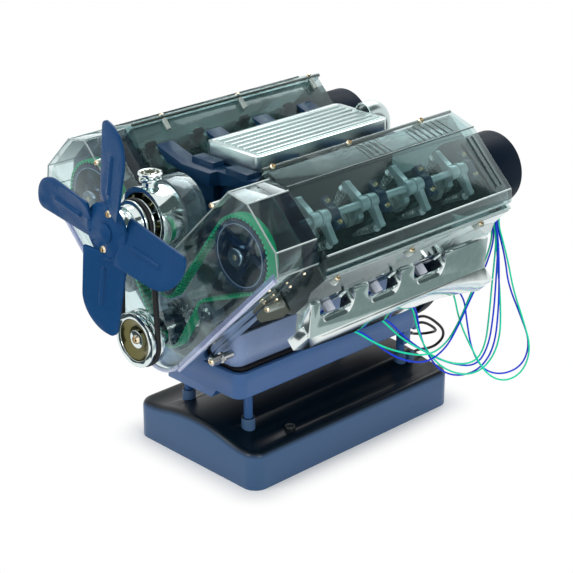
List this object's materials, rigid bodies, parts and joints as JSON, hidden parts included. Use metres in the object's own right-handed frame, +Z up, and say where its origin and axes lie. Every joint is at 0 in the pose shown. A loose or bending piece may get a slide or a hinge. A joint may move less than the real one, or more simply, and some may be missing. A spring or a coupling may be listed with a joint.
{
  "type": "engine model",
  "caption": "Clear plastic working model of a V engine on a stand, with fan, belt drive, cams, valves, pistons, chrome manifolds and loose coloured leads.",
  "frame": {"origin": "centre of the base's underside, on the surface it stands on", "axes": "+Z up, -Y towards the fan at the engine's front, +X towards the bank with the leads; the crankshaft lies along Y"},
  "size_m": [0.2758, 0.3531, 0.2988],
  "materials": {
    "base_plastic": "satin moulded plastic, near-black blue",
    "tray_plastic": "smooth moulded plastic, slate blue",
    "pan_plastic": "smooth translucent grey-violet plastic",
    "dark_plastic": "matt black plastic",
    "clear_plastic": "clear polished plastic with a grey-green tint",
    "navy_plastic": "smooth navy plastic",
    "fan_plastic": "satin navy-blue plastic",
    "grey_plastic": "smooth grey plastic",
    "chrome_trim": "mirror-bright plating",
    "steel": "bright turned metal",
    "plug_plastic": "smooth pale grey-blue plastic",
    "battery_foil": "printed cell wrapper, shown plain",
    "belt_green": "matt green moulded rubber with teeth",
    "belt_black": "matt black rubber",
    "lead_blue": "glossy blue wire covering",
    "lead_aqua": "glossy pale green wire covering",
    "lead_black": "satin black wire covering"
  },
  "bodies": {
    "engine": {"base_shell": "base_plastic", "base_cover": "base_plastic", "battery_pack": "battery_foil", "sump_tray": "tray_plastic", "sump_gasket": "dark_plastic", "sump_pan": "pan_plastic", "engine_block": "clear_plastic", "cylinder_head_right": "clear_plastic", "cylinder_head_left": "clear_plastic", "rocker_cover_right": "clear_plastic", "rocker_cover_left": "clear_plastic", "timing_cover": "clear_plastic", "pump_drum": "clear_plastic", "plenum": "clear_plastic", "timing_belt": "belt_green", "fan_belt": "belt_black", "pump_ring": "chrome_trim", "intake_manifold": "navy_plastic", "plenum_lid": "chrome_trim", "intake_elbow": "chrome_trim", "exhaust_manifold_right": "chrome_trim", "exhaust_manifold_left": "chrome_trim", "spark_plugs": "plug_plastic", "rear_caps": "navy_plastic", "bell_housing": "navy_plastic", "rocker_shafts": "steel", "rocker_caps": "grey_plastic", "drive_motor": "steel", "spark_leads_blue": "lead_blue", "spark_leads_aqua": "lead_aqua", "power_lead": "lead_black"},
    "start_button": {"start_button": "dark_plastic"},
    "filler_cap": {"filler_cap": "chrome_trim"},
    "crank": {"crankshaft": "steel", "crank_pulley": "chrome_trim", "flywheel": "steel", "crank_sprocket": "navy_plastic"},
    "cam_right": {"cam_sprocket_right": "navy_plastic", "camshaft_right": "grey_plastic"},
    "cam_left": {"cam_sprocket_left": "navy_plastic", "camshaft_left": "grey_plastic"},
    "idler_right": {"belt_idler_right": "grey_plastic"},
    "idler_left": {"belt_idler_left": "grey_plastic"},
    "idler_middle": {"belt_idler_middle": "grey_plastic"},
    "fan": {"fan": "fan_plastic", "fan_pulley": "chrome_trim"},
    "rods_outer": {"connecting_rods_outer": "grey_plastic"},
    "rods_inner": {"connecting_rods_inner": "grey_plastic"},
    "pistons_right_outer": {"pistons_right_outer": "grey_plastic"},
    "pistons_right_inner": {"pistons_right_inner": "grey_plastic"},
    "inlet_valves_right": {"inlet_valves_right": "steel"},
    "inlet_rockers_right": {"inlet_rockers_right": "grey_plastic"},
    "exhaust_valves_right": {"exhaust_valves_right": "steel"},
    "exhaust_rockers_right": {"exhaust_rockers_right": "grey_plastic"},
    "pistons_left_outer": {"pistons_left_outer": "grey_plastic"},
    "pistons_left_inner": {"pistons_left_inner": "grey_plastic"},
    "inlet_valves_left": {"inlet_valves_left": "steel"},
    "inlet_rockers_left": {"inlet_rockers_left": "grey_plastic"},
    "exhaust_valves_left": {"exhaust_valves_left": "steel"},
    "exhaust_rockers_left": {"exhaust_rockers_left": "grey_plastic"}
  },
  "joints": [
    {"name": "crank_spin", "type": "hinge", "parent": "engine", "child": "crank", "pos_m": [0, 0, 0.124], "axis": [0, 1, 0], "continuous": true},
    {"name": "cam_right_spin", "type": "hinge", "parent": "engine", "child": "cam_right", "pos_m": [0.08273, 0, 0.20673], "axis": [0, 1, 0], "continuous": true},
    {"name": "cam_left_spin", "type": "hinge", "parent": "engine", "child": "cam_left", "pos_m": [-0.08273, 0, 0.20673], "axis": [0, 1, 0], "continuous": true},
    {"name": "fan_spin", "type": "hinge", "parent": "engine", "child": "fan", "pos_m": [0, 0, 0.216], "axis": [0, 1, 0], "continuous": true},
    {"name": "idler_right_spin", "type": "hinge", "parent": "engine", "child": "idler_right", "pos_m": [0.046, 0, 0.149], "axis": [0, 1, 0], "continuous": true},
    {"name": "idler_left_spin", "type": "hinge", "parent": "engine", "child": "idler_left", "pos_m": [-0.046, 0, 0.149], "axis": [0, 1, 0], "continuous": true},
    {"name": "idler_middle_spin", "type": "hinge", "parent": "engine", "child": "idler_middle", "pos_m": [0, 0, 0.161], "axis": [0, 1, 0], "continuous": true},
    {"name": "rods_outer_pin", "type": "hinge", "parent": "crank", "child": "rods_outer", "pos_m": [0.00707, 0, 0.13107], "axis": [0, 1, 0], "continuous": true},
    {"name": "rods_inner_pin", "type": "hinge", "parent": "crank", "child": "rods_inner", "pos_m": [-0.00707, 0, 0.11693], "axis": [0, 1, 0], "continuous": true},
    {"name": "pistons_right_outer_slide", "type": "slide", "parent": "engine", "child": "pistons_right_outer", "axis": [0.7071, 0, 0.7071], "range_m": [-0.02, 0]},
    {"name": "pistons_right_inner_slide", "type": "slide", "parent": "engine", "child": "pistons_right_inner", "axis": [0.7071, 0, 0.7071], "range_m": [0, 0.02]},
    {"name": "inlet_valves_right_lift", "type": "slide", "parent": "engine", "child": "inlet_valves_right", "axis": [-0.5, 0, -0.866], "range_m": [0, 0.0025], "stiffness_N_per_m": 150, "springref_m": -0.002},
    {"name": "inlet_rockers_right_tilt", "type": "hinge", "parent": "engine", "child": "inlet_rockers_right", "pos_m": [0.09829, 0, 0.22229], "axis": [0, 1, 0], "range_deg": [-8, 0]},
    {"name": "exhaust_valves_right_lift", "type": "slide", "parent": "engine", "child": "exhaust_valves_right", "axis": [-0.866, 0, -0.5], "range_m": [0, 0.0025], "stiffness_N_per_m": 150, "springref_m": -0.002},
    {"name": "exhaust_rockers_right_tilt", "type": "hinge", "parent": "engine", "child": "exhaust_rockers_right", "pos_m": [0.09829, 0, 0.22229], "axis": [0, 1, 0], "range_deg": [0, 8]},
    {"name": "pistons_left_outer_slide", "type": "slide", "parent": "engine", "child": "pistons_left_outer", "axis": [-0.7071, 0, 0.7071], "range_m": [-0.01, 0.01]},
    {"name": "pistons_left_inner_slide", "type": "slide", "parent": "engine", "child": "pistons_left_inner", "axis": [-0.7071, 0, 0.7071], "range_m": [-0.01, 0.01]},
    {"name": "inlet_valves_left_lift", "type": "slide", "parent": "engine", "child": "inlet_valves_left", "axis": [0.5, 0, -0.866], "range_m": [0, 0.0025], "stiffness_N_per_m": 150, "springref_m": -0.002},
    {"name": "inlet_rockers_left_tilt", "type": "hinge", "parent": "engine", "child": "inlet_rockers_left", "pos_m": [-0.09829, 0, 0.22229], "axis": [0, 1, 0], "range_deg": [0, 8]},
    {"name": "exhaust_valves_left_lift", "type": "slide", "parent": "engine", "child": "exhaust_valves_left", "axis": [0.866, 0, -0.5], "range_m": [0, 0.0025], "stiffness_N_per_m": 150, "springref_m": -0.002},
    {"name": "exhaust_rockers_left_tilt", "type": "hinge", "parent": "engine", "child": "exhaust_rockers_left", "pos_m": [-0.09829, 0, 0.22229], "axis": [0, 1, 0], "range_deg": [-8, 0]},
    {"name": "start_button_press", "type": "slide", "parent": "engine", "child": "start_button", "axis": [0, 0, -1], "range_m": [0, 0.0015], "stiffness_N_per_m": 300, "springref_m": -0.002},
    {"name": "filler_cap_turn", "type": "hinge", "parent": "engine", "child": "filler_cap", "pos_m": [0, -0.1486, 0.2445], "axis": [0, 0, 1], "range_deg": [0, 90]}
  ],
  "couplings": [
    {"joint": "cam_right_spin", "follows": "crank_spin", "ratio": 0.5},
    {"joint": "cam_left_spin", "follows": "crank_spin", "ratio": 0.5},
    {"joint": "fan_spin", "follows": "crank_spin", "ratio": 1.2395},
    {"joint": "idler_right_spin", "follows": "crank_spin", "ratio": -1.4211},
    {"joint": "idler_left_spin", "follows": "crank_spin", "ratio": -1.4211},
    {"joint": "idler_middle_spin", "follows": "crank_spin", "ratio": -1.4211},
    {"joint": "rods_outer_pin", "follows": "crank_spin", "ratio": -1},
    {"joint": "rods_inner_pin", "follows": "crank_spin", "ratio": -1},
    {"joint": "pistons_right_inner_slide", "follows": "pistons_right_outer_slide", "ratio": -1},
    {"joint": "inlet_rockers_right_tilt", "follows": "inlet_valves_right_lift", "rad_per_m": -50},
    {"joint": "exhaust_rockers_right_tilt", "follows": "exhaust_valves_right_lift", "rad_per_m": 50},
    {"joint": "pistons_left_inner_slide", "follows": "pistons_left_outer_slide", "ratio": -1},
    {"joint": "inlet_rockers_left_tilt", "follows": "inlet_valves_left_lift", "rad_per_m": 50},
    {"joint": "exhaust_rockers_left_tilt", "follows": "exhaust_valves_left_lift", "rad_per_m": -50}
  ]
}
